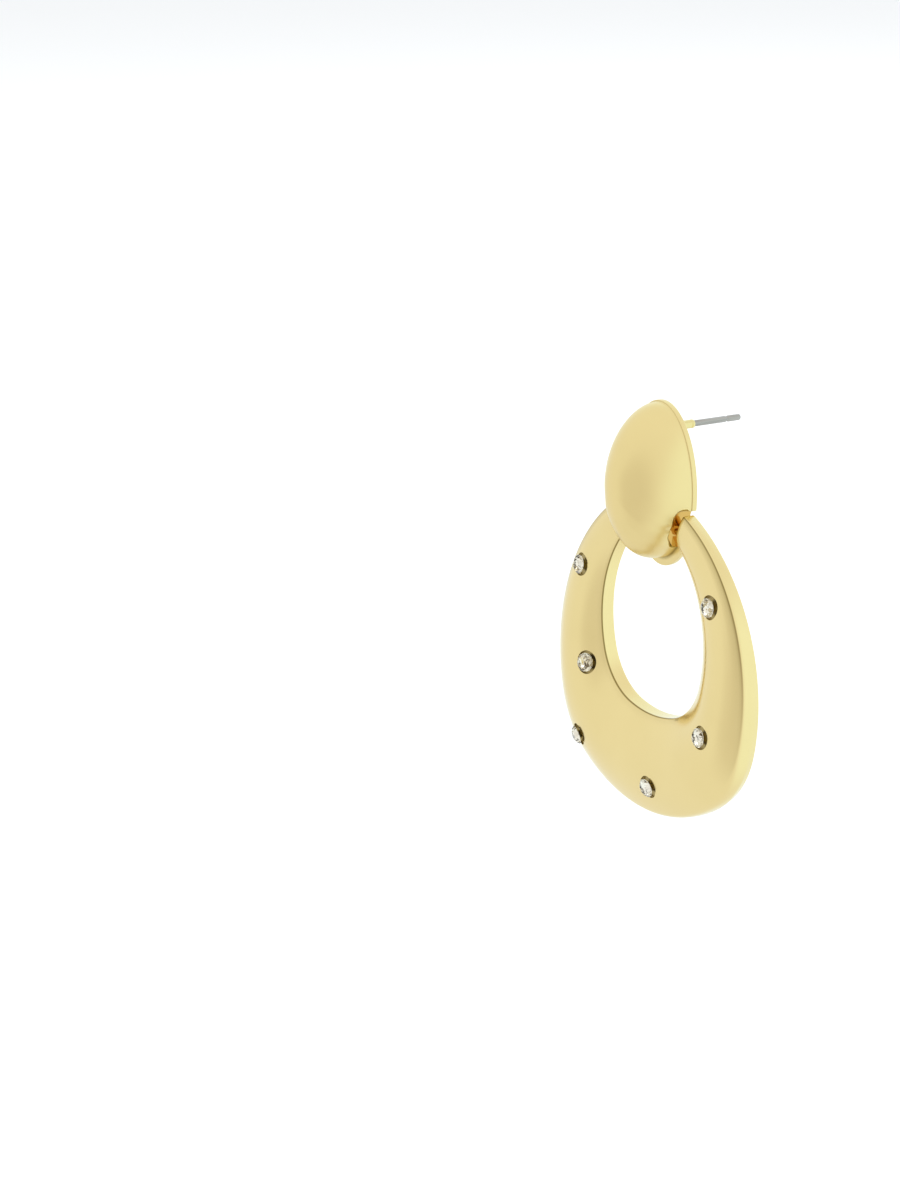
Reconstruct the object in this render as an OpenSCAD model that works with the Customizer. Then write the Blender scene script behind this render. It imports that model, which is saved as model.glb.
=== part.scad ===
// Doorknocker earring: a domed oval worn on the ear lobe, and a wide domed hoop
// that swings from a hinge pin behind the oval's lower edge.
// Millimetres. X runs across the ear, Z is up and the polished front faces -Y.
// The origin is where the post leaves the flat back of the oval.

/* [Oval] */
// Width of the oval
oval_w = 13.9; // [13.7:0.05:14.1]
// Height of the oval above its widest level
oval_up = 10.5; // [10.2:0.1:10.7]
// Height of the oval below its widest level
oval_down = 10.6; // [10.4:0.1:10.8]
// How far the widest level lies below the post
oval_drop = 6.95; // [6.8:0.05:7.1]
// Depth of the oval from its flat back to the crown
oval_depth = 8.2; // [7.8:0.1:8.5]
// Thickness of the plate that rims the oval
plate_h = 0.72; // [0.6:0.02:0.8]

/* [Hoop] */
// How far the foot of the hoop's outer edge lies below the post
hoop_drop = 50.3; // [50:0.1:50.6]
// Width of the hoop's metal at its foot
foot_w = 13.2; // [12.8:0.1:13.6]
// How far the hoop's flat back lies in front of the oval's
hoop_set = 0.5; // [0.4:0.05:0.6]

/* [Hinge] */
// How far the hinge lies below the post
hinge_drop = 11.9; // [11.8:0.05:12]
// How far the hinge lies in front of the flat back
hinge_in = 1.4; // [1.35:0.01:1.45]
// Radius of the hinge pin
pin_r = 0.4; // [0.35:0.01:0.42]
// Gap between the pin and the oval's bore
running_gap = 0.04; // [0.02:0.01:0.06]
// Radius of the notches in the oval that clear the hoop's ends
notch_r = 2.55; // [2.5:0.01:2.6]
// Half width of the oval's body between the two notches, at the hinge
notch_floor = 4.6; // [4.5:0.05:4.7]
// How far a notch reaches in front of the hinge
notch_front = 1.3; // [1.2:0.05:1.4]

/* [Stones] */
// Diameter of a stone
stone_d = 2.5; // [2.4:0.02:2.56]
// Diameter of the drilled seat round a stone
seat_d = 3.05; // [3:0.01:3.1]
// Depth of the drilled seat
seat_depth = 0.45; // [0.4:0.01:0.5]
// How far a stone's girdle stands proud of the crown
stone_lift = 0.25; // [0.2:0.01:0.3]

/* [Post] */
// Diameter of the steel post
post_d = 0.8; // [0.76:0.01:0.84]
// Reach of the post's tip behind the flat back
post_reach = 11.6; // [11:0.1:12.5]
// Length of the gold collar that carries the post
collar_reach = 4.3; // [4:0.1:4.6]

/* [Hidden] */

gold = [0.89, 0.82, 0.58];
steel = [0.62, 0.62, 0.62];
crystal = [0.93, 0.93, 0.90];
round_fn = 48;
gap = 0.01;

// The hoop's outer edge, from its foot up one side: arc radius, arc angle
rim_arcs = [
    [25.9, 33.1],
    [13.8, 41.7],
    [24.4, 79.3],
];
// The edge of the hoop's hole, from its foot up one side: arc radius, arc angle
hole_arcs = [
    [18.0, 15.2],
    [8.5, 58.5],
    [16.2, 64.4],
];
rim_foot = -hoop_drop;
hole_foot = -hoop_drop + foot_w;

// The hoop's cross-section: height of the hole's wall, height at the shoulder,
// extra height of the crown, width of the shoulder, height of the outer edge,
// and how far the back is drawn in at the hole and at the outer edge
section_foot = [2.00, 3.22, 2.10, 0.80, 1.14, 0.07, 0.40];
section_end = [1.69, 1.63, 0.60, 0.15, 0.80, 0.20, 0.05];
// Share of the way round at which the section starts to taper
taper_start = 0.19;
hoop_steps = 40;
crown_steps = 9;
shoulder_steps = 4;

// The foot of the dome on the oval's plate: direction from the centre in degrees,
// ledge left outside the dome, width of the sloping band, height of the dome's foot,
// and how pointed the dome is there, where 1 is half an ellipse
dome_feet = [
    [-90, 1.15, 0.04, 1.50, 0.92],
    [-80, 1.20, 0.04, 1.55, 0.94],
    [-70, 1.28, 0.04, 1.66, 0.96],
    [-60, 1.22, 0.05, 1.95, 0.97],
    [-45, 1.10, 0.06, 2.30, 1.00],
    [-34, 0.60, 0.06, 1.60, 1.06],
    [-22, 0.20, 0.06, 0.92, 1.10],
    [90, 0.20, 0.06, 0.80, 1.12],
];
oval_steps = 72;
dome_steps = 10;

// The stones: share of the way round from the foot, minus on the left,
// share of the way across the crown from the hole, turn in its seat
stone_spots = [
    [-0.749, 0.63, 10],
    [-0.412, 0.24, 25],
    [-0.279, 0.84, 5],
    [0.060, 0.71, 15],
    [0.375, 0.49, 0],
    [0.759, 0.54, 20],
];
stone_r = stone_d / 2;
table_r = stone_r * 0.56;
crown_h = 0.42;
girdle_h = 0.08;
pavilion_h = 1.05;
culet_r = 0.08;
// The narrow hole in the seat's floor that holds the stone's point
hold_r = stone_r - (stone_r - culet_r) * (stone_lift + seat_depth) / pavilion_h + 2 * gap;
hold_depth = pavilion_h - stone_lift - seat_depth + 0.1;

pin_reach = 8.2;
barrel_r = 0.85;
barrel_reach = 6.1;
// From here outwards the notches clear the whole swing of the hoop's ends
clear_from = 6.0;
post_r = post_d / 2;
// The post's tapered root, which is soldered into the collar
root_tip_r = post_r - 0.12;
root_r = post_r - 0.04;
root_len = 2;
collar_r = post_r + 0.16;
neck_r = post_r - 0.08;
neck_from_tip = 2.4;
neck_w = 0.5;

// Smooth step from 0 to 1
function ease(v) = let (c = max(0, min(1, v))) c * c * (3 - 2 * c);

// Row of a table at key k, eased between its two neighbours
function row_at(rows, k, i = 0) =
    i >= len(rows) - 2 || k <= rows[i + 1][0]
    ? let (s = ease((k - rows[i][0]) / (rows[i + 1][0] - rows[i][0])))
      rows[i] * (1 - s) + rows[i + 1] * s
    : row_at(rows, k, i + 1);

// Length of an outline made of arcs
function outline_len(arcs) = [for (a = arcs) a[0] * a[1] * PI / 180] * [for (a = arcs) 1];

// Point a given way along an outline of arcs, each arc tangent to the last
function walk(arcs, way, from, heading = 0, i = 0) =
    let (r = arcs[i][0], turn = arcs[i][1], whole = r * turn * PI / 180)
    way <= whole || i == len(arcs) - 1
    ? let (h = heading + way / r * 180 / PI)
      from + r * [sin(h) - sin(heading), cos(heading) - cos(h)]
    : let (h = heading + turn)
      walk(arcs, way - whole, from + r * [sin(h) - sin(heading), cos(heading) - cos(h)], h, i + 1);

// The outer edge and the hole's edge at t, from -1 at the left end to 1 at the right
function edge_at(arcs, foot, t) =
    let (p = walk(arcs, abs(t) * outline_len(arcs), [0, foot]))
    [t < 0 ? -p.x : p.x, p.y];
function rim_at(t) = edge_at(rim_arcs, rim_foot, t);
function hole_at(t) = edge_at(hole_arcs, hole_foot, t);

function section_at(t) =
    let (w = ease((abs(t) - taper_start) / (1 - taper_start)))
    section_foot * (1 - w) + section_end * w;

// Point of the hoop at t, a run outwards from the hole's edge and h off its back
function hoop_point(t, run, h) =
    let (a = hole_at(t), b = rim_at(t), d = (b - a) / norm(b - a))
    [a.x + d.x * run, -hoop_set - h, a.y + d.y * run];

// Point on the crown at t, with u from 0 at the hole to 1 at the shoulder
function crown_at(t, u) =
    let (s = section_at(t), run = norm(rim_at(t) - hole_at(t)) - s[3])
    hoop_point(t, run * u, s[0] + (s[1] - s[0]) * u + 4 * s[2] * u * (1 - u));

function crown_normal(t, u) =
    let (e = 0.01)
    let (n = cross(crown_at(t, u + e) - crown_at(t, u - e), crown_at(t + e, u) - crown_at(t - e, u)))
    n / norm(n);

// One closed cross-section of the hoop: wall of the hole, crown, shoulder, back
function hoop_ring(t) =
    let (s = section_at(t), w = norm(rim_at(t) - hole_at(t)))
    [
        hoop_point(t, -s[5], 0),
        hoop_point(t, -s[5] / 2, s[0] / 2),
        for (i = [0:crown_steps]) crown_at(t, i / crown_steps),
        for (i = [1:shoulder_steps])
            let (a = 90 * i / shoulder_steps)
            hoop_point(t, w - s[3] + s[3] * sin(a), s[4] + (s[1] - s[4]) * cos(a)),
        hoop_point(t, w - s[6], 0),
    ];

// Closed solid through a list of rings that all have the same number of points
module loft(rings) {
    n = len(rings[0]);
    last = len(rings) - 1;
    sides = [
        for (i = [0:last - 1], j = [0:n - 1])
            let (a = i * n + j, b = i * n + (j + 1) % n)
            each [[a, b + n, b], [a, a + n, b + n]]
    ];
    ends = [[for (j = [0:n - 1]) j], [for (j = [n - 1:-1:0]) last * n + j]];
    polyhedron(points = [for (r = rings) each r], faces = concat(sides, ends));
}

// Distance from the oval's centre to the edge of its plate
function plate_edge(a) =
    let (up = sin(a) < 0 ? oval_down : oval_up)
    1 / sqrt(pow(cos(a) / (oval_w / 2), 2) + pow(sin(a) / up, 2));

function foot_at(a) = row_at(dome_feet, asin(sin(a)));

// Point of the oval in direction a, r from its centre and h off its back
function oval_point(a, r, h) = [r * cos(a), -h, r * sin(a) - oval_drop];

// Ring round the plate's edge, drawn in by less
function plate_ring(less, h) =
    [
        for (i = [0:oval_steps - 1])
            let (a = i * 360 / oval_steps)
            oval_point(a, plate_edge(a) - less, h)
    ];

// Ring round the outer line of the sloping band
function band_ring(h) =
    [
        for (i = [0:oval_steps - 1])
            let (a = i * 360 / oval_steps, f = foot_at(a))
            oval_point(a, plate_edge(a) - f[1] + f[2], h)
    ];

// Ring round the dome, at rise from 0 at its foot to 90 at its crown
function dome_ring(rise) =
    [
        for (i = [0:oval_steps - 1])
            let (a = i * 360 / oval_steps, f = foot_at(a))
            oval_point(
                a,
                (plate_edge(a) - f[1]) * pow(cos(rise), f[4]),
                f[3] + (oval_depth - f[3]) * pow(sin(rise), f[4])
            )
    ];

module oval_blank() {
    edge_round = 0.12;
    last_ring = 86;
    loft([
        plate_ring(edge_round, 0),
        plate_ring(0, edge_round),
        plate_ring(0, plate_h - edge_round / 2),
        plate_ring(edge_round / 2, plate_h),
        band_ring(plate_h + 0.02),
        for (i = [0:dome_steps - 1]) dome_ring(last_ring * i / (dome_steps - 1)),
    ]);
}

module at_hinge() {
    translate([0, -hinge_in, -hinge_drop])
        rotate([0, 90, 0])
            children();
}

// Cylinder from one level of x to another, about the hinge, on both sides
module both_sides(r, from, to) {
    for (side = [-1, 1])
        at_hinge()
            translate([0, 0, side < 0 ? -to : from])
                cylinder(r = r, h = to - from, $fn = round_fn);
}

// Slot behind the dome, from one level of x to another, on both sides
module slots(from, to) {
    corner_r = 0.8;
    back = 2.6;
    // The floor leans with the hoop's end
    slant = 0.45;
    for (side = [-1, 1])
        at_hinge()
            multmatrix([[1, 0, 0, 0], [0, 1, 0, 0], [-side * slant, 0, 1, 0], [0, 0, 0, 1]])
                translate([0, 0, side < 0 ? -to : from])
                    linear_extrude(height = to - from)
                        offset(r = corner_r, $fn = round_fn)
                            offset(delta = -corner_r)
                                polygon([
                                    [-notch_r, back],
                                    [-notch_r, -notch_front],
                                    [0.9, -notch_front],
                                    [notch_r, -0.15],
                                    [notch_r, back],
                                ]);
}

module collar() {
    rotate([-90, 0, 0]) {
        translate([0, 0, -0.3])
            cylinder(r = collar_r, h = collar_reach + 0.3, $fn = round_fn);
        cylinder(r1 = collar_r + 0.8, r2 = collar_r, h = 0.8, $fn = round_fn);
    }
}

module oval_top() {
    color(gold)
        difference() {
            union() {
                difference() {
                    oval_blank();
                    slots(notch_floor, oval_w);
                    both_sides(notch_r, clear_from, oval_w);
                }
                both_sides(barrel_r, notch_floor - 1, barrel_reach);
                collar();
            }
            at_hinge()
                cylinder(r = pin_r + running_gap, h = 2 * oval_w, center = true, $fn = round_fn);
            rotate([-90, 0, 0])
                translate([0, 0, collar_reach - root_len])
                    cylinder(r1 = root_tip_r + gap, r2 = root_r + gap, h = root_len + 0.1, $fn = round_fn);
        }
}

module ear_post() {
    tip = 0.3;
    from = collar_reach + gap;
    neck = post_reach - neck_from_tip;
    mouth_r = post_r + 0.02;
    color(steel)
        rotate([-90, 0, 0])
            difference() {
                union() {
                    translate([0, 0, from - root_len])
                        cylinder(r1 = root_tip_r, r2 = root_r, h = root_len + 0.1, $fn = round_fn);
                    translate([0, 0, from])
                        cylinder(r = post_r, h = post_reach - tip - from, $fn = round_fn);
                    translate([0, 0, post_reach - tip])
                        cylinder(r1 = post_r, r2 = post_r * 0.55, h = tip, $fn = round_fn);
                }
                translate([0, 0, neck])
                    difference() {
                        cylinder(r = post_r + 0.5, h = neck_w, $fn = round_fn);
                        translate([0, 0, -0.01])
                            cylinder(r1 = mouth_r, r2 = neck_r, h = neck_w / 2 + 0.01, $fn = round_fn);
                        translate([0, 0, neck_w / 2])
                            cylinder(r1 = neck_r, r2 = mouth_r, h = neck_w / 2 + 0.01, $fn = round_fn);
                    }
            }
}

module hinge_pin() {
    color(gold)
        at_hinge()
            cylinder(r = pin_r, h = 2 * pin_reach, center = true, $fn = round_fn);
}

// Stands a child on the crown of the hoop, its +Z pointing out of the surface
module on_crown(spot) {
    n = crown_normal(spot[0], spot[1]);
    translate(crown_at(spot[0], spot[1]))
        rotate([0, acos(n.z), atan2(n.y, n.x)])
            rotate([0, 0, spot[2]])
                children();
}

module stone_seat() {
    translate([0, 0, -seat_depth])
        cylinder(d = seat_d, h = seat_depth + 1, $fn = round_fn);
    translate([0, 0, -seat_depth - hold_depth])
        cylinder(r = hold_r, h = hold_depth + 0.5, $fn = round_fn);
}

module drop_hoop() {
    color(gold)
        difference() {
            loft([for (i = [-hoop_steps:hoop_steps]) hoop_ring(i / hoop_steps)]);
            for (spot = stone_spots)
                on_crown(spot)
                    stone_seat();
            both_sides(pin_r + gap, notch_floor, pin_reach + 0.1);
        }
}

// One level of a cut stone, with the corners turned half a step or not
module facet_level(z, r, corners, half_step = false) {
    translate([0, 0, z])
        rotate([0, 0, half_step ? 180 / corners : 0])
            cylinder(r = r, h = 0.001, $fn = corners);
}

// Round cut: table of eight sides, star and kite facets, girdle, steep pavilion
module cut_stone() {
    hull() {
        facet_level(girdle_h + crown_h, table_r, 8);
        facet_level(girdle_h + crown_h * 0.62, stone_r * 0.80, 8, true);
        facet_level(girdle_h, stone_r, 16);
        facet_level(0, stone_r, 16);
        facet_level(-pavilion_h, culet_r, 8);
    }
}

module stone(i) {
    color(crystal)
        on_crown(stone_spots[i - 1])
            translate([0, 0, stone_lift])
                cut_stone();
}

module stone_1() { stone(1); }
module stone_2() { stone(2); }
module stone_3() { stone(3); }
module stone_4() { stone(4); }
module stone_5() { stone(5); }
module stone_6() { stone(6); }

oval_top();
ear_post();
hinge_pin();
drop_hoop();
stone_1();
stone_2();
stone_3();
stone_4();
stone_5();
stone_6();
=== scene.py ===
# Doorknocker earring: a domed oval for the ear lobe and a wide domed hoop that swings
# below it, in polished pale gold, with six small cut stones and a steel ear post.
# Sizes are in millimetres up to the point where a mesh is made, which is in metres.
import math

import bpy
from mathutils import Matrix, Vector
from mathutils.bvhtree import BVHTree
from mathutils.interpolate import poly_3d_calc


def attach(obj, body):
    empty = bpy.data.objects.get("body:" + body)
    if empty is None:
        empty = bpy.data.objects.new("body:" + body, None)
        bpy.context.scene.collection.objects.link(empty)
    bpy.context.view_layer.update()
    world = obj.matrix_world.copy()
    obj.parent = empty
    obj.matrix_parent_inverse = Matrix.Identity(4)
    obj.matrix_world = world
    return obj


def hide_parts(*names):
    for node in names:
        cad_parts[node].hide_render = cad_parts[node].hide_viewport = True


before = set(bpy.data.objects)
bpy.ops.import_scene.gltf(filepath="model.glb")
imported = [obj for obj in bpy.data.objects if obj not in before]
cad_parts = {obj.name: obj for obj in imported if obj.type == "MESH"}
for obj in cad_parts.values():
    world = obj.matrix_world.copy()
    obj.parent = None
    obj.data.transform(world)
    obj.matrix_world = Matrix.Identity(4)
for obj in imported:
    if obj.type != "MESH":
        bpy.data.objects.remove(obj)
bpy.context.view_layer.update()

MM = 0.001

# The oval
OVAL_HALF_W = 6.95
OVAL_UP = 10.5
OVAL_DOWN = 10.6
OVAL_CENTRE_Z = -6.95
OVAL_DEPTH = 8.2
PLATE_H = 0.72
LEDGE_RISE = 0.02
# The foot of the dome on the plate: direction from the centre in degrees, ledge left
# outside the dome, lean of the wall at the dome's foot, height of the top of that wall,
# pointedness of the dome
DOME_FEET = (
    (-90, 1.15, 0.04, 1.50, 0.92),
    (-80, 1.20, 0.04, 1.55, 0.94),
    (-70, 1.28, 0.04, 1.66, 0.96),
    (-60, 1.22, 0.05, 1.95, 0.97),
    (-45, 1.10, 0.06, 2.30, 1.00),
    (-34, 0.60, 0.06, 1.60, 1.06),
    (-22, 0.20, 0.06, 0.92, 1.10),
    (90, 0.20, 0.06, 0.80, 1.12),
)
OVAL_STEPS = 240
DOME_STEPS = 44

# The hoop: arc radius and arc angle, from the foot up one side
RIM_ARCS = ((25.9, 33.1), (13.8, 41.7), (24.4, 79.3))
HOLE_ARCS = ((18.0, 15.2), (8.5, 58.5), (16.2, 64.4))
RIM_FOOT = -50.3
HOLE_FOOT = -37.1
HOOP_SET = 0.5
# The hoop's cross-section at its foot and at its ends: height of the hole's wall, height
# at the shoulder, extra height of the crown, width of the shoulder, height of the outer
# edge, and how far the back is drawn in at the hole and at the outer edge
SECTION_FOOT = (2.00, 3.22, 2.10, 0.80, 1.14, 0.07, 0.40)
SECTION_END = (1.69, 1.63, 0.60, 0.15, 0.80, 0.20, 0.05)
TAPER_START = 0.19
# Rounded ends: share of the way round, share by which the cross-section is drawn in
HOOP_CAPS = ((1.0015, 0.02), (1.003, 0.06), (1.0045, 0.13), (1.0057, 0.25), (1.0066, 0.45))
HOOP_STEPS = 170
CROWN_STEPS = 30

# Rounding of the back edges, of the hoop's crest beside the hole and of the plate's front
EDGE_ROUND = 0.12
CREST_ROUND = 0.16
FRONT_ROUND = 0.06

# The hinge
HINGE = Vector((0, -1.4, -11.9))
PIN_R = 0.4
PIN_FIT = 0.01
RUNNING_GAP = 0.04
NOTCH_R = 2.55
# Half width of the oval between the notches at the hinge, and how far a notch's floor
# leans outwards for each unit of height, with the hoop's end
NOTCH_FLOOR = 4.6
FLOOR_SLANT = 0.45
# From here outwards the notches clear the whole swing of the hoop's ends
CLEAR_FROM = 6.0
# The slot behind the dome, as (up, front) corners about the hinge
SLOT = ((2.55, -2.6), (2.55, 1.3), (-0.9, 1.3), (-2.55, 0.15), (-2.55, -2.6))
SLOT_CORNER_R = 0.8
RIM_ROUND = 0.38
BARREL_R = 0.85
BARREL_REACH = 6.1
PIN_REACH = 8.2

# The post
POST_R = 0.4
POST_REACH = 11.6
COLLAR_R = 0.56
COLLAR_REACH = 4.3
ROOT_LEN = 2.0
NECK_FROM_TIP = 2.4
NECK_W = 0.5
# Turns a thing's own +Z to point backwards, along the post
BACKWARD = Matrix.Rotation(math.radians(-90), 4, "X")

# The stones: share of the way round from the foot, minus on the left, share of the way
# across the crown from the hole, turn in the seat in degrees
STONE_SPOTS = (
    (-0.749, 0.63, 10),
    (-0.412, 0.24, 25),
    (-0.279, 0.84, 5),
    (0.060, 0.71, 15),
    (0.375, 0.49, 0),
    (0.759, 0.54, 20),
)
STONE_R = 1.25
SEAT_R = 1.525
SEAT_DEPTH = 0.45
STONE_LIFT = 0.25
HOLD_R = 0.49
HOLD_DEPTH = 0.45


def ease(v):
    """Smooth step from 0 to 1."""
    c = max(0.0, min(1.0, v))
    return c * c * (3 - 2 * c)


def between(a, b, share):
    return [p + (q - p) * share for p, q in zip(a, b)]


def curve(start, mid_a, mid_b, end, share):
    """Point on a cubic curve."""
    left = 1 - share
    weights = (left**3, 3 * left**2 * share, 3 * left * share**2, share**3)
    points = (start, mid_a, mid_b, end)
    return [sum(w * p[i] for w, p in zip(weights, points)) for i in range(len(start))]


def rounded(before, corner, after, steps):
    """Points of a rounded corner, from before to after."""
    return [curve(before, between(before, corner, 0.6), between(after, corner, 0.6), after, i / steps)
            for i in range(steps + 1)]


def toward(start, goal, way):
    """Point that lies a given way from start towards goal."""
    length = math.dist(start, goal)
    return between(start, goal, way / length)


# Meshes

def mesh_object(name, points, faces, material, columns=0):
    """Object of a mesh, in metres. columns, the number of points in a ring of a loft, adds a
    UV map that runs along the rings and round each of them."""
    mesh = bpy.data.meshes.new(name)
    mesh.from_pydata([Vector(p) * MM for p in points], [], faces)
    if columns:
        rows = len(points) // columns - 1
        unrolled = mesh.uv_layers.new(name="round the section")
        for face in mesh.polygons:
            wraps = any(v % columns == columns - 1 for v in face.vertices)
            for loop, v in zip(face.loop_indices, face.vertices):
                row, column = divmod(v, columns)
                unrolled.data[loop].uv = (row / rows, 1 if wraps and column == 0 else column / columns)
    mesh.validate()
    mesh.shade_smooth()
    obj = bpy.data.objects.new(name, mesh)
    bpy.context.scene.collection.objects.link(obj)
    mesh.materials.append(material)
    return obj


def loft(rings, closed_by=None):
    """Points and faces through rings with the same number of points. closed_by gives a
    pole for the last ring, and flat ends close the rest."""
    n = len(rings[0])
    points = [p for ring in rings for p in ring]
    faces = []
    for i in range(len(rings) - 1):
        for j in range(n):
            a, b = i * n + j, i * n + (j + 1) % n
            faces.append((a, b, b + n, a + n))
    faces.append(tuple(range(n - 1, -1, -1)))
    last = (len(rings) - 1) * n
    if closed_by is None:
        faces.append(tuple(last + j for j in range(n)))
    else:
        points.append(closed_by)
        faces += [(last + j, last + (j + 1) % n, len(points) - 1) for j in range(n)]
    return points, faces


def outward(points, faces):
    """The same solid with its faces turned to point outwards."""
    volume = sum(points[f[0]].dot(points[f[i]].cross(points[f[i + 1]]))
                 for f in faces for i in range(1, len(f) - 1))
    return points, faces if volume > 0 else [f[::-1] for f in faces]


def turned(profile, place, sides=64):
    """Points and faces of a turned solid. profile lists (level, radius) from the foot up,
    and place puts its own +Z where it belongs."""
    rings = []
    for level, radius in profile:
        angles = [2 * math.pi * i / sides for i in range(sides)]
        rings.append([place @ Vector((radius * math.cos(a), radius * math.sin(a), level)) for a in angles])
    return loft(rings)


def joined(parts):
    """One set of points and faces out of several."""
    points, faces = [], []
    for more_points, more_faces in parts:
        start = len(points)
        points += more_points
        faces += [tuple(start + i for i in face) for face in more_faces]
    return points, faces


def carve(target, tool, operation):
    """Cuts the tool out of the target, or adds it, and deletes the tool."""
    cut = target.modifiers.new("cut", "BOOLEAN")
    cut.operation = operation
    cut.solver = "EXACT"
    cut.material_mode = "TRANSFER"
    cut.object = tool
    made = bpy.data.meshes.new_from_object(target.evaluated_get(bpy.context.evaluated_depsgraph_get()))
    target.modifiers.remove(cut)
    target.data = made
    made.name = target.name
    bpy.data.objects.remove(tool)


def smooth_like(target, blank, material):
    """Shades the target smooth. Its faces in one material take the blank's own smooth
    normals, so a cut doesn't show in the polish round it, and the flat back stays flat."""
    crease = math.radians(32)
    reach = 0.02 * MM
    flat_back = 0.999
    alike = 0.85
    mesh = target.data
    mesh.shade_smooth()
    mesh.set_sharp_from_angle(angle=crease)
    corners = [v.co.copy() for v in blank.vertices]
    directions = [v.normal.copy() for v in blank.vertices]
    sides = [tuple(p.vertices) for p in blank.polygons if len(p.vertices) <= 4]
    tree = BVHTree.FromPolygons(corners, sides)
    normals = [Vector((0, 0, 0))] * len(mesh.loops)
    for face in mesh.polygons:
        if mesh.materials[face.material_index].name != material.name:
            continue
        if face.normal.y > flat_back:
            for loop in face.loop_indices:
                normals[loop] = face.normal.copy()
            continue
        for loop in face.loop_indices:
            at = mesh.vertices[mesh.loops[loop].vertex_index].co
            spot, _, side, away = tree.find_nearest(at)
            if away > reach:
                continue
            shares = poly_3d_calc([corners[i] for i in sides[side]], spot)
            normal = sum((directions[i] * w for i, w in zip(sides[side], shares)), Vector())
            if normal.dot(face.normal) > alike:
                normals[loop] = normal.normalized()
    mesh.normals_split_custom_set(normals)


# Materials

def node_tree(material):
    """A material's nodes, links and shader."""
    material.use_nodes = True
    nodes = material.node_tree.nodes
    return nodes, material.node_tree.links, nodes["Principled BSDF"]


def polish_group():
    """Soft clouds in the polish and fine marks left by the buffing wheel."""
    group = bpy.data.node_groups.new("polish marks", "ShaderNodeTree")
    inputs = (
        ("Place", "NodeSocketVector"),
        ("Cloud Size", "NodeSocketFloat"),
        ("Mark Size", "NodeSocketFloat"),
    )
    for name, kind in inputs:
        group.interface.new_socket(name=name, in_out="INPUT", socket_type=kind)
    for name in ("Cloud", "Marks"):
        group.interface.new_socket(name=name, in_out="OUTPUT", socket_type="NodeSocketFloat")
    nodes, links = group.nodes, group.links
    inlet = nodes.new("NodeGroupInput")
    outlet = nodes.new("NodeGroupOutput")
    cloud = nodes.new("ShaderNodeTexNoise")
    cloud.inputs["Detail"].default_value = 2
    marks = nodes.new("ShaderNodeTexNoise")
    marks.inputs["Detail"].default_value = 4
    marks.inputs["Roughness"].default_value = 0.6
    for noise, size in ((cloud, "Cloud Size"), (marks, "Mark Size")):
        links.new(inlet.outputs["Place"], noise.inputs["Vector"])
        links.new(inlet.outputs[size], noise.inputs["Scale"])
    links.new(cloud.outputs["Fac"], outlet.inputs["Cloud"])
    links.new(marks.outputs["Fac"], outlet.inputs["Marks"])
    return group


POLISH = polish_group()


def finish(name, dark, light, rough, marks,
           cloud_size=160, mark_size=2400, stretch=(1, 1, 1), metal=1.0):
    """A finish whose colour drifts from dark to light and its roughness between two values,
    with fine marks in the surface. stretch draws the pattern out along an axis."""
    material = bpy.data.materials.new(name)
    nodes, links, shader = node_tree(material)
    place = nodes.new("ShaderNodeTexCoord")
    turn = nodes.new("ShaderNodeMapping")
    turn.inputs["Scale"].default_value = stretch
    polish = nodes.new("ShaderNodeGroup")
    polish.node_tree = POLISH
    polish.inputs["Cloud Size"].default_value = cloud_size
    polish.inputs["Mark Size"].default_value = mark_size
    tone = nodes.new("ShaderNodeMix")
    tone.data_type = "RGBA"
    tone.inputs["A"].default_value = (*dark, 1)
    tone.inputs["B"].default_value = (*light, 1)
    gloss = nodes.new("ShaderNodeMapRange")
    gloss.inputs["From Min"].default_value = 0.3
    gloss.inputs["From Max"].default_value = 0.7
    gloss.inputs["To Min"].default_value = rough[0]
    gloss.inputs["To Max"].default_value = rough[1]
    bump = nodes.new("ShaderNodeBump")
    bump.inputs["Strength"].default_value = marks
    bump.inputs["Distance"].default_value = 0.01 * MM
    links.new(place.outputs["Object"], turn.inputs["Vector"])
    links.new(turn.outputs["Vector"], polish.inputs["Place"])
    links.new(polish.outputs["Cloud"], tone.inputs["Factor"])
    links.new(polish.outputs["Cloud"], gloss.inputs["Value"])
    links.new(polish.outputs["Marks"], bump.inputs["Height"])
    links.new(tone.outputs["Result"], shader.inputs["Base Color"])
    links.new(gloss.outputs["Result"], shader.inputs["Roughness"])
    links.new(bump.outputs["Normal"], shader.inputs["Normal"])
    shader.inputs["Metallic"].default_value = metal
    return material


# The tone of the fine dark lines painted along the polished edges and corners: painted dark reflections
# and painted shade
PAINTED_SHADE_OLIVE = (0.22, 0.155, 0.03)


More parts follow.
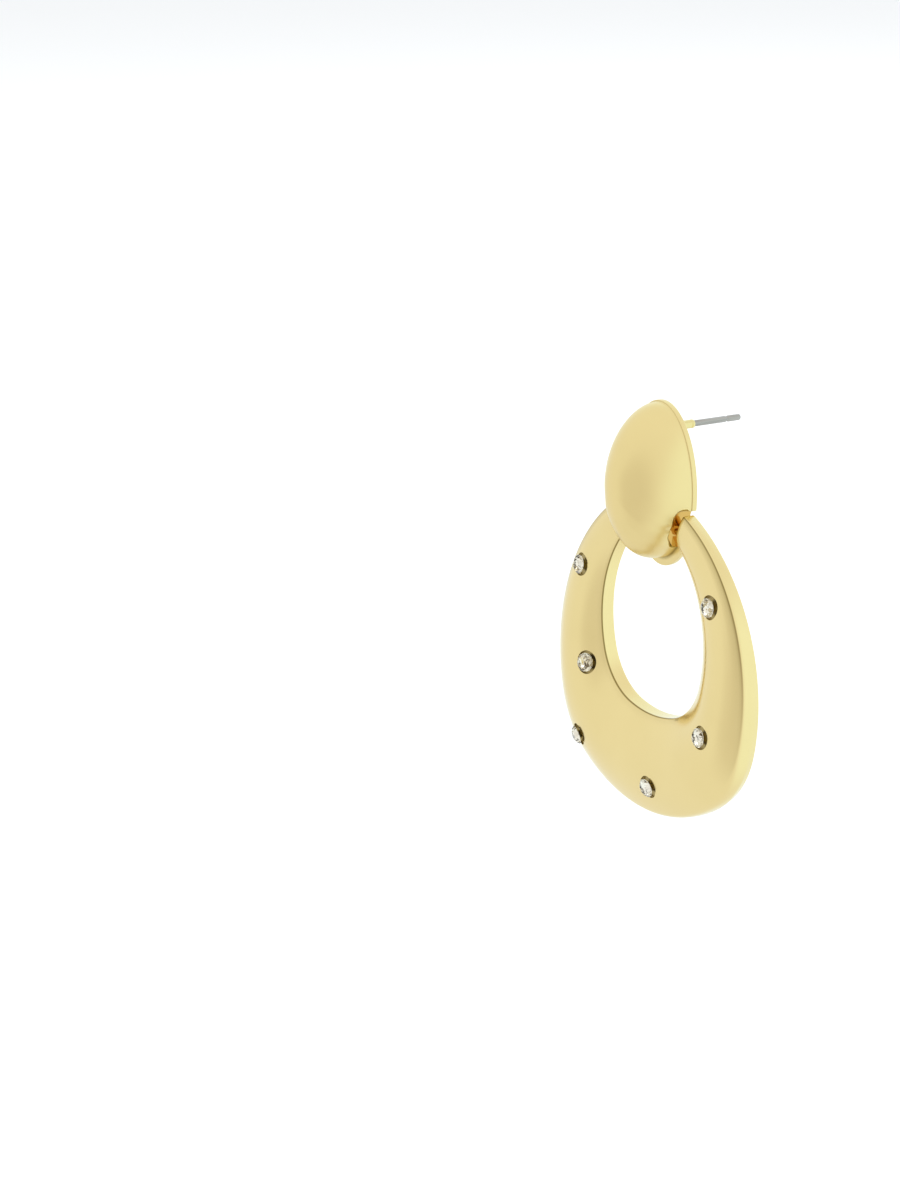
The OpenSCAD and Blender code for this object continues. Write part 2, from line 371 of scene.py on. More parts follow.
def paint_shade_and_reflection_line(material, stops, across="Y", fade=None):
    """Paints the polish olive along a line, for painted dark reflections along edges and painted
    shade in corners. stops lists (place across the line, share of olive), across a section of
    the loft (Y) or from ring to ring (X). fade, if given, is how far from the hoop's foot the
    line begins to show and where it has its full strength, as shares of the way round."""
    nodes, links, shader = node_tree(material)
    unrolled = nodes.new("ShaderNodeUVMap")
    unrolled.uv_map = "round the section"
    axes = nodes.new("ShaderNodeSeparateXYZ")
    line = nodes.new("ShaderNodeValToRGB")
    ramp = line.color_ramp
    while len(ramp.elements) < len(stops):
        ramp.elements.new(0.5)
    for element, (place, share) in zip(ramp.elements, stops):
        element.position = place
        element.color = (share, share, share, 1)
    strength = nodes.new("ShaderNodeMath")
    strength.operation = "MULTIPLY"
    strength.inputs[1].default_value = 1
    olive = nodes.new("ShaderNodeMix")
    olive.data_type = "RGBA"
    olive.inputs["B"].default_value = (*PAINTED_SHADE_OLIVE, 1)
    links.new(unrolled.outputs["UV"], axes.inputs[0])
    links.new(axes.outputs[across], line.inputs["Fac"])
    links.new(line.outputs["Color"], strength.inputs[0])
    if fade:
        from_foot = nodes.new("ShaderNodeMath")
        from_foot.operation = "SUBTRACT"
        from_foot.inputs[1].default_value = 0.5
        way = nodes.new("ShaderNodeMath")
        way.operation = "ABSOLUTE"
        gain = nodes.new("ShaderNodeMapRange")
        gain.interpolation_type = "SMOOTHSTEP"
        gain.inputs["From Min"].default_value = fade[0] / 2
        gain.inputs["From Max"].default_value = fade[1] / 2
        links.new(axes.outputs["X"], from_foot.inputs[0])
        links.new(from_foot.outputs[0], way.inputs[0])
        links.new(way.outputs[0], gain.inputs["Value"])
        links.new(gain.outputs["Result"], strength.inputs[1])
    links.new(strength.outputs[0], olive.inputs["Factor"])
    links.new(shader.inputs["Base Color"].links[0].from_socket, olive.inputs["A"])
    links.new(olive.outputs["Result"], shader.inputs["Base Color"])


def paint_facet_reflections(material, size):
    """Paints small patches of a foil dark and dim, painted reflections such as facets show that mirror one
    another.
    """
    nodes, links, shader = node_tree(material)
    place = nodes.new("ShaderNodeTexCoord")
    cells = nodes.new("ShaderNodeTexVoronoi")
    cells.inputs["Scale"].default_value = size
    chance = nodes.new("ShaderNodeSeparateColor")
    shade = nodes.new("ShaderNodeValToRGB")
    shade.color_ramp.interpolation = "CONSTANT"
    # Painted reflections: about a tenth of the cells dark, about an eighth dim, the rest as they are
    shade.color_ramp.elements[0].color = (0.14, 0.10, 0.04, 1)
    shade.color_ramp.elements[1].position = 0.10
    shade.color_ramp.elements[1].color = (0.55, 0.46, 0.28, 1)
    bright = shade.color_ramp.elements.new(0.22)
    bright.color = (1, 1, 1, 1)
    mixed = nodes.new("ShaderNodeMix")
    mixed.data_type = "RGBA"
    mixed.blend_type = "MULTIPLY"
    mixed.inputs["Factor"].default_value = 1
    links.new(place.outputs["Object"], cells.inputs["Vector"])
    links.new(cells.outputs["Color"], chance.inputs["Color"])
    links.new(chance.outputs["Red"], shade.inputs["Fac"])
    links.new(shader.inputs["Base Color"].links[0].from_socket, mixed.inputs["A"])
    links.new(shade.outputs["Color"], mixed.inputs["B"])
    links.new(mixed.outputs["Result"], shader.inputs["Base Color"])


# Each finish: its darkest and lightest tone, its range of roughness, depth of the marks
hoop_gold = finish("polished gold of the hoop",
                   (0.84, 0.695, 0.33), (0.90, 0.755, 0.37), (0.14, 0.20), 0.05)
oval_gold = finish("polished gold of the oval",
                   (0.84, 0.69, 0.32), (0.90, 0.75, 0.36), (0.30, 0.36), 0.05)
# Painted shade: the rounded rims of the hinge notches are dark olive gold
painted_shade_rim_gold = finish("gold of the notch rims with painted shade",
                  (0.46, 0.34, 0.08), (0.60, 0.45, 0.12), (0.14, 0.20), 0.05)
# Painted shade: the insides of the hinge notches, the barrels and the pin are orange gold
painted_shade_notch_gold = finish("gold of the hinge notches with painted shade",
                    (0.66, 0.40, 0.10), (0.74, 0.49, 0.15), (0.10, 0.16), 0.05)
collar_gold = finish("gold of the collar",
                     (0.80, 0.685, 0.315), (0.86, 0.745, 0.355), (0.10, 0.15), 0.05)
# Painted shade: the stones' seats and the bores are dark gold
painted_shade_seat_gold = finish("shaded gold of the seats",
                   (0.36, 0.28, 0.11), (0.50, 0.40, 0.17), (0.25, 0.4), 0.2)
steel = finish("drawn steel", (0.27, 0.26, 0.24), (0.60, 0.58, 0.53), (0.22, 0.38), 0.35,
               cloud_size=3200, mark_size=5200, stretch=(1, 0.06, 1))
foil = finish("silver foil", (0.94, 0.92, 0.83), (1.0, 0.98, 0.90), (0.04, 0.12), 0.05,
              cloud_size=1500)
# Painted dark reflections in the foil's facets
paint_facet_reflections(foil, 2800)
crystal = finish("clear crystal", (0.97, 0.95, 0.88), (1.0, 0.985, 0.94), (0.0, 0.03), 0.02,
                 cloud_size=1500, metal=0.0)
_, _, crystal_shader = node_tree(crystal)
crystal_shader.inputs["Transmission Weight"].default_value = 1.0
crystal_shader.inputs["IOR"].default_value = 1.56


# The hoop

def walk(arcs, way, start):
    """Point a given way along an outline of tangent arcs that starts level."""
    x, z = start
    heading = 0.0
    for i, (radius, turn) in enumerate(arcs):
        whole = radius * math.radians(turn)
        part = way if i == len(arcs) - 1 else min(way, whole)
        after = heading + part / radius
        x += radius * (math.sin(after) - math.sin(heading))
        z += radius * (math.cos(heading) - math.cos(after))
        way -= part
        heading = after
        if way <= 0:
            break
    return x, z


def edge_at(arcs, foot, t):
    """Point of an edge of the hoop at t, the share of the way round from the foot to an end,
    which is negative on the left."""
    length = sum(radius * math.radians(turn) for radius, turn in arcs)
    x, z = walk(arcs, abs(t) * length, (0, foot))
    return Vector((-x if t < 0 else x, z))


def section_at(t):
    """Sizes of the hoop's cross-section at t."""
    return between(SECTION_FOOT, SECTION_END, ease((abs(t) - TAPER_START) / (1 - TAPER_START)))


def hoop_width(t):
    return (edge_at(RIM_ARCS, RIM_FOOT, t) - edge_at(HOLE_ARCS, HOLE_FOOT, t)).length


def hoop_point(t, run, height):
    """Point of the hoop at t, a run outwards from the hole's edge and a height off its back."""
    a = edge_at(HOLE_ARCS, HOLE_FOOT, t)
    d = (edge_at(RIM_ARCS, RIM_FOOT, t) - a).normalized()
    return Vector((a.x + d.x * run, -HOOP_SET - height, a.y + d.y * run))


def crown_height(section, u):
    """Height of the crown a share u of the way across, from the hole."""
    wall_h, shoulder_h, rise = section[:3]
    return wall_h + (shoulder_h - wall_h) * u + 4 * rise * u * (1 - u)


def crown_at(t, u):
    section = section_at(t)
    return hoop_point(t, (hoop_width(t) - section[3]) * u, crown_height(section, u))


def crown_normal(t, u):
    step = 0.01
    across = crown_at(t, u + step) - crown_at(t, u - step)
    along = crown_at(t + step, u) - crown_at(t - step, u)
    return across.cross(along).normalized()


def hoop_outline(t):
    """The hoop's cross-section at t as (run, height) points, from the hole's wall over the
    crown and the shoulder to the back, with its corners rounded."""
    section = section_at(t)
    wall_h, shoulder_h, rise, shoulder_w, edge_h, hole_draft, edge_draft = section
    width = hoop_width(t)
    span = width - shoulder_w
    hole_back, crest = (-hole_draft, 0), (0, wall_h)
    edge_back, edge_top = (width - edge_draft, 0), (width, edge_h)
    first_u = CREST_ROUND / span
    points = rounded(toward(hole_back, edge_back, EDGE_ROUND), hole_back,
                     toward(hole_back, crest, EDGE_ROUND), 4)
    points += [between(hole_back, crest, share) for share in (0.3, 0.6, 0.85)]
    points += rounded(toward(crest, hole_back, CREST_ROUND), crest,
                      (first_u * span, crown_height(section, first_u)), 5)
    for i in range(1, CROWN_STEPS + 1):
        u = first_u + (1 - first_u) * i / CROWN_STEPS
        points.append((span * u, crown_height(section, u)))
    fall = (shoulder_h - wall_h - 4 * rise) / span
    reach = shoulder_w * 0.75
    for i in range(1, 13):
        points.append(curve((span, shoulder_h), (span + reach, shoulder_h + fall * reach),
                            (width, edge_h + (shoulder_h - edge_h) * 0.55), edge_top, i / 12))
    points += [between(edge_top, edge_back, share) for share in (0.25, 0.5, 0.75)]
    points += rounded(toward(edge_back, edge_top, EDGE_ROUND), edge_back,
                      toward(edge_back, hole_back, EDGE_ROUND), 4)
    points += [toward(edge_back, hole_back, 3 * EDGE_ROUND), toward(hole_back, edge_back, 3 * EDGE_ROUND)]
    return points


def hoop_ring(t, less=0.0):
    """The cross-section in place. less draws it in towards its own middle."""
    outline = hoop_outline(t)
    middle = [sum(p[i] for p in outline) / len(outline) for i in (0, 1)]
    return [hoop_point(t, *toward(p, middle, less)) for p in outline]


def hoop_rings():
    rings = [hoop_ring(-t, less) for t, less in reversed(HOOP_CAPS)]
    rings += [hoop_ring(-1 + i / HOOP_STEPS) for i in range(2 * HOOP_STEPS + 1)]
    rings += [hoop_ring(t, less) for t, less in HOOP_CAPS]
    return rings


def on_crown(spot):
    """Matrix that stands a thing on the crown of the hoop, +Z pointing out of the surface."""
    t, u, turn = spot
    n = crown_normal(t, u)
    tilt = Matrix.Rotation(math.atan2(n.y, n.x), 4, "Z") @ Matrix.Rotation(math.acos(n.z), 4, "Y")
    return Matrix.Translation(crown_at(t, u)) @ tilt @ Matrix.Rotation(math.radians(turn), 4, "Z")


def about_hinge(side):
    """Matrix that puts +Z along the hinge's axis, outwards on that side."""
    return Matrix.Translation(HINGE) @ Matrix.Rotation(math.radians(90 * side), 4, "Y")


def make_hoop():
    """The hoop, drilled for its stones and for the ends of the pin."""
    points, faces = loft(hoop_rings())
    hoop = mesh_object("hoop", points, faces, hoop_gold, columns=len(hoop_outline(0)))
    blank = hoop.data.copy()
    corner = 0.04
    seat = (
        (-SEAT_DEPTH - HOLD_DEPTH, HOLD_R),
        (-SEAT_DEPTH, HOLD_R),
        (-SEAT_DEPTH, SEAT_R - corner),
        (-SEAT_DEPTH + corner, SEAT_R),
        (-0.06, SEAT_R),
        (0.0, SEAT_R + 0.02),
        (1.0, SEAT_R + 0.2),
    )
    seats = [turned(seat, on_crown(spot), 72) for spot in STONE_SPOTS]
    carve(hoop, mesh_object("seats", *joined(seats), painted_shade_seat_gold), "DIFFERENCE")
    bore_r = PIN_R + PIN_FIT
    bores = [turned(((NOTCH_FLOOR, bore_r), (PIN_REACH + 0.1, bore_r)), about_hinge(side), 48)
             for side in (-1, 1)]
    carve(hoop, mesh_object("bores", *joined(bores), painted_shade_seat_gold), "DIFFERENCE")
    smooth_like(hoop, blank, hoop_gold)
    return hoop


# The oval

def row_at(rows, key):
    """Row of a table at a key, eased between its two neighbours."""
    for low, high in zip(rows, rows[1:]):
        if key <= high[0]:
            return between(low, high, ease((key - low[0]) / (high[0] - low[0])))
    return rows[-1]


def plate_edge(a):
    """Distance from the oval's centre to the plate's edge, in the direction a."""
    up = OVAL_DOWN if math.sin(a) < 0 else OVAL_UP
    return 1 / math.hypot(math.cos(a) / OVAL_HALF_W, math.sin(a) / up)


def oval_ring(place):
    """Ring of the oval: place gives the distance from the centre and the height at a direction."""
    ring = []
    for i in range(OVAL_STEPS):
        a = 2 * math.pi * i / OVAL_STEPS
        foot = row_at(DOME_FEET, math.degrees(math.asin(math.sin(a))))
        r, h = place(plate_edge(a), foot)
        ring.append(Vector((r * math.cos(a), -h, r * math.sin(a) + OVAL_CENTRE_Z)))
    return ring


def oval_rings():
    """Rings from the back over the plate's edge, the ledge and the wall at the dome's foot
    to the crown."""
    rings = [oval_ring(lambda edge, foot: (edge - 3 * EDGE_ROUND, 0))]
    for i in range(5):
        a = math.radians(90 * i / 4)
        rings.append(oval_ring(lambda edge, foot, a=a: (
            edge - EDGE_ROUND * (1 - math.sin(a)), EDGE_ROUND * (1 - math.cos(a)))))
    rings.append(oval_ring(lambda edge, foot: (edge, PLATE_H * 0.6)))
    for i in range(4):
        a = math.radians(90 * i / 3)
        rings.append(oval_ring(lambda edge, foot, a=a: (
            edge - FRONT_ROUND * (1 - math.cos(a)), PLATE_H - FRONT_ROUND * (1 - math.sin(a)))))
    rings.append(oval_ring(lambda edge, foot: (
        edge - FRONT_ROUND - (foot[1] - foot[2] - FRONT_ROUND) * 0.5, PLATE_H + LEDGE_RISE / 2)))
    for way in (0.03, 0.0):
        rings.append(oval_ring(lambda edge, foot, way=way: (
            edge - foot[1] + foot[2] + way, PLATE_H + LEDGE_RISE)))
    for share in (0.06, 0.94):
        rings.append(oval_ring(lambda edge, foot, share=share: (
            edge - foot[1] + foot[2] * (1 - share),
            PLATE_H + LEDGE_RISE + (foot[3] - PLATE_H - LEDGE_RISE) * share)))
    for i in range(DOME_STEPS):
        rise = math.radians(89 * i / (DOME_STEPS - 1))
        rings.append(oval_ring(lambda edge, foot, rise=rise: dome_place(edge, foot, rise)))
    return rings


def dome_place(edge, foot, rise):
    """The dome is pointed as its foot says, and plainly round towards its crown."""
    _, ledge, _, foot_h, point = foot
    point = point + (1 - point) * ease((math.degrees(rise) - 55) / 35)
    return ((edge - ledge) * math.cos(rise) ** point,
            foot_h + (OVAL_DEPTH - foot_h) * math.sin(rise) ** point)


def slot_outline():
    """Points (up, front) round the slot, close together where it is straight too."""
    spacing = 0.1
    points = []
    for i, corner in enumerate(SLOT):
        before, after = SLOT[i - 1], SLOT[(i + 1) % len(SLOT)]
        turn = math.pi - (Vector(before) - Vector(corner)).angle(Vector(after) - Vector(corner))
        reach = SLOT_CORNER_R * math.tan(turn / 2)
        arc = rounded(toward(corner, before, reach), corner, toward(corner, after, reach), 10)
        if points:
            start = points[-1]
            steps = int(math.dist(start, arc[0]) / spacing)
            points += [between(start, arc[0], (k + 1) / (steps + 1)) for k in range(steps)]
        points += arc
    return points


def slot_solid(side):
    """The slot on one side, from the notch's floor outwards."""
    rings = []
    for level in (NOTCH_FLOOR, 3 * NOTCH_FLOOR):
        rings.append([about_hinge(side) @ Vector((-side * up, -front, level + FLOOR_SLANT * up))
                      for up, front in slot_outline()])
    return outward(*loft(rings))


def rim_solid(side, uncut):
    """What the rounded rim of a notch takes off its sharp edge. uncut is the oval before any
    cut, as a tree that finds where a line meets it."""
    above_plate = PLATE_H + 0.1
    outline = slot_outline()
    found = []
    for before, (up, front), after in zip(outline, outline[1:], outline[2:]):
        from_side = Vector((side * 4 * NOTCH_FLOOR, HINGE.y - front, HINGE.z + up))
        edge, normal, _, _ = uncut.ray_cast(from_side, Vector((-side, 0, 0)))
        if edge is None or edge.y > -above_plate:
            continue
        depth = abs(edge.x) - NOTCH_FLOOR - FLOOR_SLANT * up
        if depth < 0:
            continue
        along = Vector(after) - Vector(before)
        found.append((edge, normal, Vector((0, -along.x, -along.y)).normalized(), depth))
    # Directions are averaged over this many neighbours on each side, so the rim runs smooth
    spread = 4
    least = 0.04
    rings = []
    for i, (edge, _, _, depth) in enumerate(found):
        near = found[max(0, i - spread):i + spread + 1]
        normal = sum((each[1] for each in near), Vector()).normalized()
        into_slot = sum((each[2] for each in near), Vector()).normalized()
        size = max(least, RIM_ROUND * ease((-edge.y - above_plate) / 0.6) * ease(depth / 0.2))
        on_dome = (normal * into_slot.dot(normal) - into_slot).normalized() * size
        on_wall = Vector((-side, 0, 0)) * size
        start, end = edge + on_dome, edge + on_wall
        ring = [start + on_dome * 0.05 + normal * least]
        ring += [Vector(p) for p in rounded(start, edge, end, 8)]
        ring.append(end + on_wall * 0.05 + into_slot * least)
        ring.append(edge + (normal + into_slot) * 0.3)
        rings.append(ring)
    return outward(*loft(rings))


def collar_profile():
    """The collar from its flare on the back to its end, with a fine turned groove."""
    flare = 0.8
    groove = 0.04
    profile = [(-0.3, COLLAR_R + flare), (0.0, COLLAR_R + flare)]
    for i in range(1, 9):
        a = math.radians(90 * i / 8)
        profile.append((flare * math.sin(a) ** 1.5, COLLAR_R + flare * (1 - math.sin(a)) ** 1.2))
    profile += [
        (COLLAR_REACH - 0.55, COLLAR_R),
        (COLLAR_REACH - 0.5, COLLAR_R - groove),
        (COLLAR_REACH - 0.42, COLLAR_R - groove),
        (COLLAR_REACH - 0.37, COLLAR_R),
        (COLLAR_REACH - 0.12, COLLAR_R),
        (COLLAR_REACH - 0.03, COLLAR_R - 0.04),
        (COLLAR_REACH, COLLAR_R - 0.12),
    ]
    return profile


def make_oval():
    """The oval with its notches, hinge barrels and collar, bored for the pin and the post."""
    crown = Vector((0, -OVAL_DEPTH, OVAL_CENTRE_Z))
    points, faces = loft(oval_rings(), closed_by=crown)
    oval = mesh_object("oval", points, faces, oval_gold, columns=OVAL_STEPS)
    blank = oval.data.copy()
    uncut = BVHTree.FromPolygons([Vector(p) for p in points], faces)
    slots = [slot_solid(side) for side in (-1, 1)]
    carve(oval, mesh_object("slots", *joined(slots), painted_shade_notch_gold), "DIFFERENCE")
    notches = [turned(((CLEAR_FROM, NOTCH_R), (3 * NOTCH_FLOOR, NOTCH_R)), about_hinge(side), 160)
               for side in (-1, 1)]
    carve(oval, mesh_object("notches", *joined(notches), painted_shade_notch_gold), "DIFFERENCE")
    rims = [rim_solid(side, uncut) for side in (-1, 1)]
    carve(oval, mesh_object("rims", *joined(rims), painted_shade_rim_gold), "DIFFERENCE")
    chamfer = 0.08
    barrel = (
        (NOTCH_FLOOR - 1, BARREL_R),
        (BARREL_REACH - chamfer, BARREL_R),
        (BARREL_REACH, BARREL_R - chamfer),
    )
    barrels = [turned(barrel, about_hinge(side), 64) for side in (-1, 1)]
    carve(oval, mesh_object("barrels", *joined(barrels), painted_shade_notch_gold), "UNION")
    collar = turned(collar_profile(), BACKWARD, 64)
    carve(oval, mesh_object("collar", *collar, collar_gold), "UNION")
    axle_r = PIN_R + RUNNING_GAP
    axle = turned(((-2 * OVAL_HALF_W, axle_r), (2 * OVAL_HALF_W, axle_r)), about_hinge(1), 48)
    socket = ((COLLAR_REACH - ROOT_LEN, POST_R - 0.11), (COLLAR_REACH + 0.1, POST_R - 0.03))
    bores = joined([axle, turned(socket, BACKWARD, 48)])
    carve(oval, mesh_object("bores", *bores, painted_shade_seat_gold), "DIFFERENCE")
    smooth_like(oval, blank, oval_gold)
    return oval


def make_post():
    """The steel post, with a rounded tip and the neck that an ear nut grips."""
    neck = POST_REACH - NECK_FROM_TIP
    neck_dip = 0.08
    tip_len = 0.35
    tip_turn = math.radians(80)
    shaft_from = COLLAR_REACH + 0.01
    profile = [
        (shaft_from - ROOT_LEN, POST_R - 0.12),
        (shaft_from - 0.005, POST_R - 0.04),
        (shaft_from, POST_R - 0.02),
        (shaft_from + 0.04, POST_R),
        ((shaft_from + neck) / 2, POST_R),
    ]
    for i in range(9):
        share = i / 8
        dip = neck_dip * (0.5 - 0.5 * math.cos(2 * math.pi * share))
        profile.append((neck + NECK_W * share, POST_R - dip))
    for i in range(9):
        a = tip_turn * i / 8
        profile.append((POST_REACH - tip_len + tip_len * math.sin(a) / math.sin(tip_turn),
                        POST_R * math.cos(a) ** 0.5))
    post = mesh_object("post", *turned(profile, BACKWARD, 48), steel)
    post.data.set_sharp_from_angle(angle=math.radians(40))
    return post


# The stones

# Levels of the cut: corners, share of the girdle's radius, height in girdle radii, half turn
STONE_LEVELS = (
    (8, 0.56, 0.40, False),
    (8, 0.80, 0.272, True),
    (16, 1.00, 0.064, False),
    (16, 1.00, 0.0, False),
    (8, 0.55, -0.42, False),
    (8, 0.064, -0.84, False),
)


def stone_tree():
    """Node tree of a round cut: circles of corners at each level, wrapped in flat facets.
    The pavilion, below the girdle, takes the foil."""
    tree = bpy.data.node_groups.new("cut stone", "GeometryNodeTree")
    tree.is_modifier = True

    def inlet_socket(name, kind, value=None):
        socket = tree.interface.new_socket(name=name, in_out="INPUT", socket_type=kind)
        if value is not None:
            socket.default_value = value

    inlet_socket("Geometry", "NodeSocketGeometry")
    inlet_socket("Girdle Radius", "NodeSocketFloat", STONE_R * MM)
    inlet_socket("Seat Place", "NodeSocketVector")
    inlet_socket("Seat Turn", "NodeSocketRotation")
    inlet_socket("Crystal", "NodeSocketMaterial")
    inlet_socket("Foil", "NodeSocketMaterial")
    tree.interface.new_socket(name="Geometry", in_out="OUTPUT", socket_type="NodeSocketGeometry")
    nodes, links = tree.nodes, tree.links
    inlet = nodes.new("NodeGroupInput")
    outlet = nodes.new("NodeGroupOutput")
    gather = nodes.new("GeometryNodeJoinGeometry")
    for corners, radius_share, level_share, half_turn in STONE_LEVELS:
        ring = nodes.new("GeometryNodeMeshCircle")
        ring.inputs["Vertices"].default_value = corners
        radius = nodes.new("ShaderNodeMath")
        radius.operation = "MULTIPLY"
        radius.inputs[1].default_value = radius_share
        level = nodes.new("ShaderNodeMath")
        level.operation = "MULTIPLY"
        level.inputs[1].default_value = level_share
        lift = nodes.new("ShaderNodeCombineXYZ")
        put = nodes.new("GeometryNodeTransform")
        put.inputs["Rotation"].default_value = (0, 0, math.pi / corners if half_turn else 0)
        links.new(inlet.outputs["Girdle Radius"], radius.inputs[0])
        links.new(inlet.outputs["Girdle Radius"], level.inputs[0])
        links.new(radius.outputs[0], ring.inputs["Radius"])
        links.new(level.outputs[0], lift.inputs["Z"])
        links.new(ring.outputs["Mesh"], put.inputs["Geometry"])
        links.new(lift.outputs[0], put.inputs["Translation"])
        links.new(put.outputs["Geometry"], gather.inputs["Geometry"])
    wrap = nodes.new("GeometryNodeConvexHull")
    flat = nodes.new("GeometryNodeSetShadeSmooth")
    flat.inputs["Shade Smooth"].default_value = False
    clear = nodes.new("GeometryNodeSetMaterial")
    facing = nodes.new("GeometryNodeInputNormal")
    split = nodes.new("ShaderNodeSeparateXYZ")
    below = nodes.new("FunctionNodeCompare")
    below.operation = "LESS_THAN"
    below.inputs["B"].default_value = -0.1
    backed = nodes.new("GeometryNodeSetMaterial")
    seat = nodes.new("GeometryNodeTransform")
    real = nodes.new("GeometryNodeRealizeInstances")
    links.new(gather.outputs["Geometry"], wrap.inputs["Geometry"])
    links.new(wrap.outputs["Convex Hull"], flat.inputs["Geometry"])
    links.new(flat.outputs["Geometry"], clear.inputs["Geometry"])
    links.new(inlet.outputs["Crystal"], clear.inputs["Material"])
    links.new(clear.outputs["Geometry"], backed.inputs["Geometry"])
    links.new(inlet.outputs["Foil"], backed.inputs["Material"])
    links.new(facing.outputs["Normal"], split.inputs[0])
    links.new(split.outputs["Z"], below.inputs["A"])
    links.new(below.outputs["Result"], backed.inputs["Selection"])
    links.new(backed.outputs["Geometry"], seat.inputs["Geometry"])
    links.new(inlet.outputs["Seat Place"], seat.inputs["Translation"])
    links.new(inlet.outputs["Seat Turn"], seat.inputs["Rotation"])
    links.new(seat.outputs["Geometry"], real.inputs["Geometry"])
    links.new(real.outputs["Geometry"], outlet.inputs["Geometry"])
    return tree


def make_stone(number, spot, tree):
    """One stone, turned into a plain mesh where it sits in the hoop."""
    maker = bpy.data.objects.new("stone maker", bpy.data.meshes.new("stone maker"))
    bpy.context.scene.collection.objects.link(maker)
    cut = maker.modifiers.new("cut", "NODES")
    cut.node_group = tree
    sockets = {item.name: item.identifier for item in tree.interface.items_tree if item.in_out == "INPUT"}
    seat = on_crown(spot) @ Matrix.Translation((0, 0, STONE_LIFT))
    cut[sockets["Girdle Radius"]] = STONE_R * MM
    cut[sockets["Seat Place"]] = tuple(seat.translation * MM)
    cut[sockets["Seat Turn"]] = tuple(seat.to_euler())
    cut[sockets["Crystal"]] = crystal
    cut[sockets["Foil"]] = foil
    depsgraph = bpy.context.evaluated_depsgraph_get()
    mesh = bpy.data.meshes.new_from_object(maker.evaluated_get(depsgraph))
    bpy.data.objects.remove(maker)
    name = f"crystal_{number}"
    mesh.name = name
    stone = bpy.data.objects.new(name, mesh)
    bpy.context.scene.collection.objects.link(stone)
    return stone


# Making and placing

# Places round the hoop's section: the crest beside the hole is points 8 to 13, and the
# shoulder turns down at point 43
AROUND = len(hoop_outline(0))
# Painted dark reflections along the polished edges: one line on the crest beside the hole, and one on the
# shoulder that grows in away from the foot
paint_shade_and_reflection_line(hoop_gold, (
    (7.5 / AROUND, 0.0),
    (8.5 / AROUND, 0.85),
    (10.5 / AROUND, 0.85),
    (12.0 / AROUND, 0.14),
    (14.5 / AROUND, 0.0),
))
paint_shade_and_reflection_line(hoop_gold, (
    (38.0 / AROUND, 0.0),
    (42.0 / AROUND, 0.28),
    (44.0 / AROUND, 0.95),
    (45.0 / AROUND, 0.95),
    (46.5 / AROUND, 0.0),
), fade=(0.34, 0.82))

# Rings 12 and 13 of the oval are the corner between the ledge and the foot of the dome
LAST_RING = len(oval_rings()) - 1
# Painted shade along that corner, all the way round the oval
paint_shade_and_reflection_line(oval_gold, (
    (11.2 / LAST_RING, 0.0),
    (11.9 / LAST_RING, 0.55),
    (13.6 / LAST_RING, 0.55),
    (14.5 / LAST_RING, 0.0),
), across="X")

hoop = make_hoop()
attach(hoop, "drop")
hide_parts("drop_hoop")

oval = make_oval()
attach(oval, "stud")
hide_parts("oval_top")

post = make_post()
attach(post, "stud")
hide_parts("ear_post")

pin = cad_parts["hinge_pin"]
# The pin takes the notches' painted shade
pin.data.materials.clear()
pin.data.materials.append(painted_shade_notch_gold)

cut_tree = stone_tree()
for number, spot in enumerate(STONE_SPOTS, start=1):
    stone = make_stone(number, spot, cut_tree)
    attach(stone, "drop")
    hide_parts(f"stone_{number}")


# Stage, light and camera

# The point that the camera was fitted to, and how the camera stands to it
AIM = Vector((0, -3.625, -48.7)) * MM
AZIMUTH, ELEVATION = 55.43, 19.13
ROLL = math.radians(0.385)
DISTANCE = 0.35975
# Where that point lies in the photograph, whose frame is 900 by 1200
PHOTO_W, PHOTO_H = 900, 1200
AIM_X, AIM_Y = 643.9, 800.8
FOCAL_SHARE = 0.960 * 2878 / PHOTO_H
SENSOR = 36


def make_floor():
    """White paper, far enough below to keep its shadow out of the picture."""
    half = 3.0
    level = -0.085
    mesh = bpy.data.meshes.new("floor")
    corners = ((-half, -half), (half, -half), (half, half), (-half, half))
    mesh.from_pydata([(x, y, level) for x, y in corners], [], [(0, 1, 2, 3)])
    floor = bpy.data.objects.new("floor", mesh)
    bpy.context.scene.collection.objects.link(floor)
    floor.visible_glossy = False
    floor.visible_transmission = False
    paper = bpy.data.materials.new("white paper")
    _, _, shader = node_tree(paper)
    shader.inputs["Base Color"].default_value = (0.93, 0.93, 0.93, 1)
    shader.inputs["Roughness"].default_value = 0.9
    mesh.materials.append(paper)


def from_front(azimuth, elevation):
    """Direction at degrees from the front towards +X, and above the horizon."""
    a, e = math.radians(azimuth), math.radians(elevation)
    return Vector((math.sin(a) * math.cos(e), -math.cos(a) * math.cos(e), math.sin(e)))


# The soft studio: middle of a patch in degrees from the front and above the horizon, its
# inner and outer reach in degrees, and its light
STUDIO = (
    (from_front(15, -10), 8, 48, (0.82, 0.80, 0.78)),
    (from_front(120, -15), 20, 75, (1.04, 1.13, 1.16)),
    (from_front(-150, 0), 20, 70, (1.02, 1.12, 1.20)),
)
STUDIO_BASE = (0.945, 0.945, 0.945)


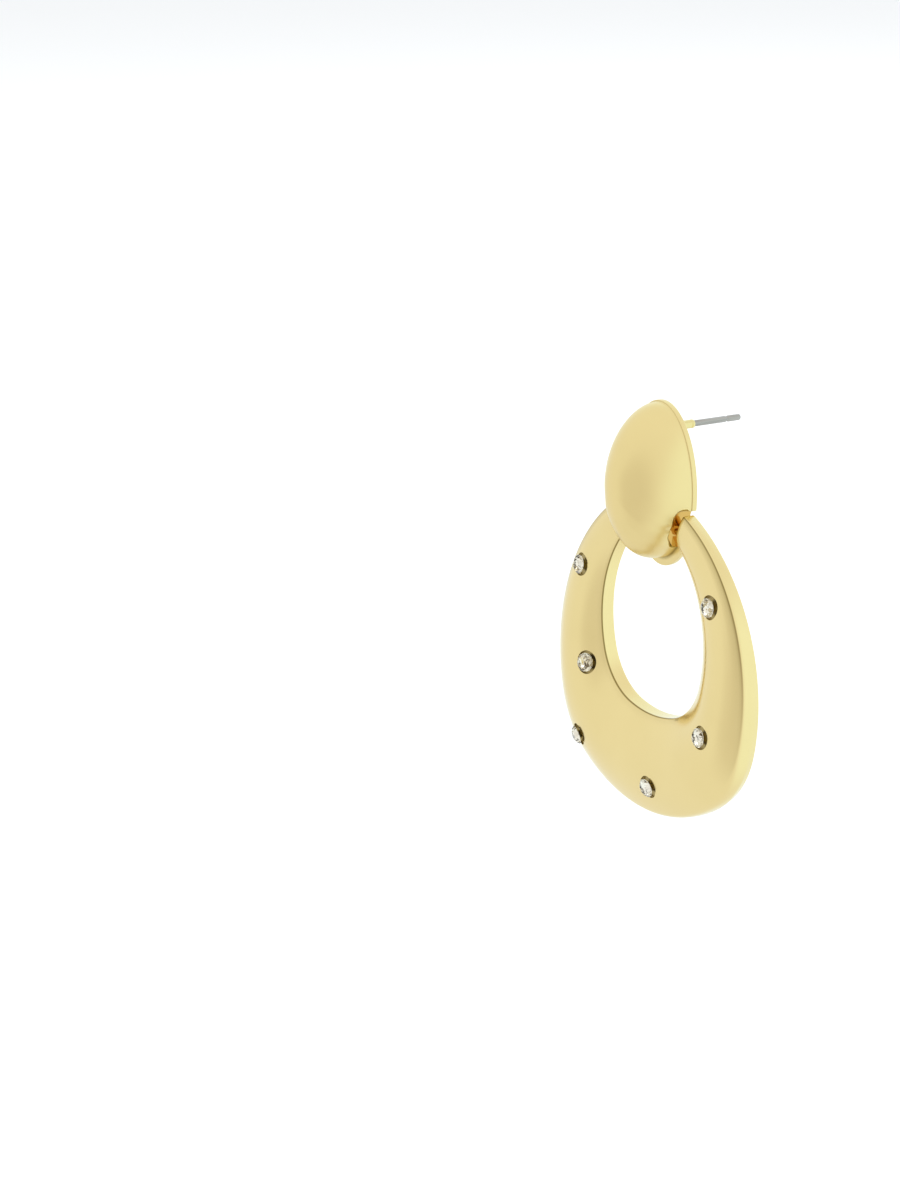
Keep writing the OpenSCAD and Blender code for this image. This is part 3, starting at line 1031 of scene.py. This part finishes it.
def make_sky():
    """Soft white studio all round with a few brighter and dimmer patches, and plain white
    to the camera."""
    world = bpy.data.worlds.new("studio")
    bpy.context.scene.world = world
    world.use_nodes = True
    nodes, links = world.node_tree.nodes, world.node_tree.links
    nodes.clear()
    out = nodes.new("ShaderNodeOutputWorld")
    seen = nodes.new("ShaderNodeMixShader")
    path = nodes.new("ShaderNodeLightPath")
    plain = nodes.new("ShaderNodeBackground")
    plain.inputs["Color"].default_value = (1, 1, 1, 1)
    lit = nodes.new("ShaderNodeBackground")
    place = nodes.new("ShaderNodeTexCoord")
    last = None
    for middle, inner, outer, light in STUDIO:
        facing = nodes.new("ShaderNodeVectorMath")
        facing.operation = "DOT_PRODUCT"
        facing.inputs[1].default_value = middle
        patch = nodes.new("ShaderNodeMapRange")
        patch.interpolation_type = "SMOOTHERSTEP"
        patch.inputs["From Min"].default_value = math.cos(math.radians(outer))
        patch.inputs["From Max"].default_value = math.cos(math.radians(inner))
        blend = nodes.new("ShaderNodeMix")
        blend.data_type = "RGBA"
        blend.inputs["A"].default_value = (*STUDIO_BASE, 1)
        blend.inputs["B"].default_value = (*light, 1)
        links.new(place.outputs["Generated"], facing.inputs[0])
        links.new(facing.outputs["Value"], patch.inputs["Value"])
        links.new(patch.outputs["Result"], blend.inputs["Factor"])
        if last:
            links.new(last.outputs["Result"], blend.inputs["A"])
        last = blend
    links.new(last.outputs["Result"], lit.inputs["Color"])
    links.new(path.outputs["Is Camera Ray"], seen.inputs["Fac"])
    links.new(lit.outputs[0], seen.inputs[1])
    links.new(plain.outputs[0], seen.inputs[2])
    links.new(seen.outputs[0], out.inputs["Surface"])


def add_softbox(name, place, size, power):
    light = bpy.data.lights.new(name, "AREA")
    light.size = size
    light.energy = power
    box = bpy.data.objects.new(name, light)
    bpy.context.scene.collection.objects.link(box)
    box.location = place
    box.rotation_euler = (AIM - Vector(place)).to_track_quat("-Z", "Y").to_euler()
    box.visible_glossy = False


def make_camera():
    camera = bpy.data.cameras.new("camera")
    camera.sensor_fit = "VERTICAL"
    camera.sensor_height = SENSOR
    camera.lens = SENSOR * FOCAL_SHARE
    camera.shift_x = (PHOTO_W / 2 - AIM_X) / PHOTO_H
    camera.shift_y = (AIM_Y - PHOTO_H / 2) / PHOTO_H
    camera.clip_start = 0.01
    camera.clip_end = 20
    holder = bpy.data.objects.new("camera", camera)
    bpy.context.scene.collection.objects.link(holder)
    to_camera = from_front(AZIMUTH, ELEVATION)
    right = Vector((math.cos(math.radians(AZIMUTH)), math.sin(math.radians(AZIMUTH)), 0))
    up = to_camera.cross(right)
    level_right = right * math.cos(ROLL) - up * math.sin(ROLL)
    level_up = right * math.sin(ROLL) + up * math.cos(ROLL)
    turn = Matrix((level_right, level_up, to_camera)).transposed().to_4x4()
    holder.matrix_world = Matrix.Translation(AIM + to_camera * DISTANCE) @ turn
    bpy.context.scene.camera = holder


make_floor()
make_sky()
make_camera()
add_softbox("overhead", (0.0, 0.6, 1.2), 1.6, 12)
bpy.context.scene.view_settings.view_transform = "Standard"
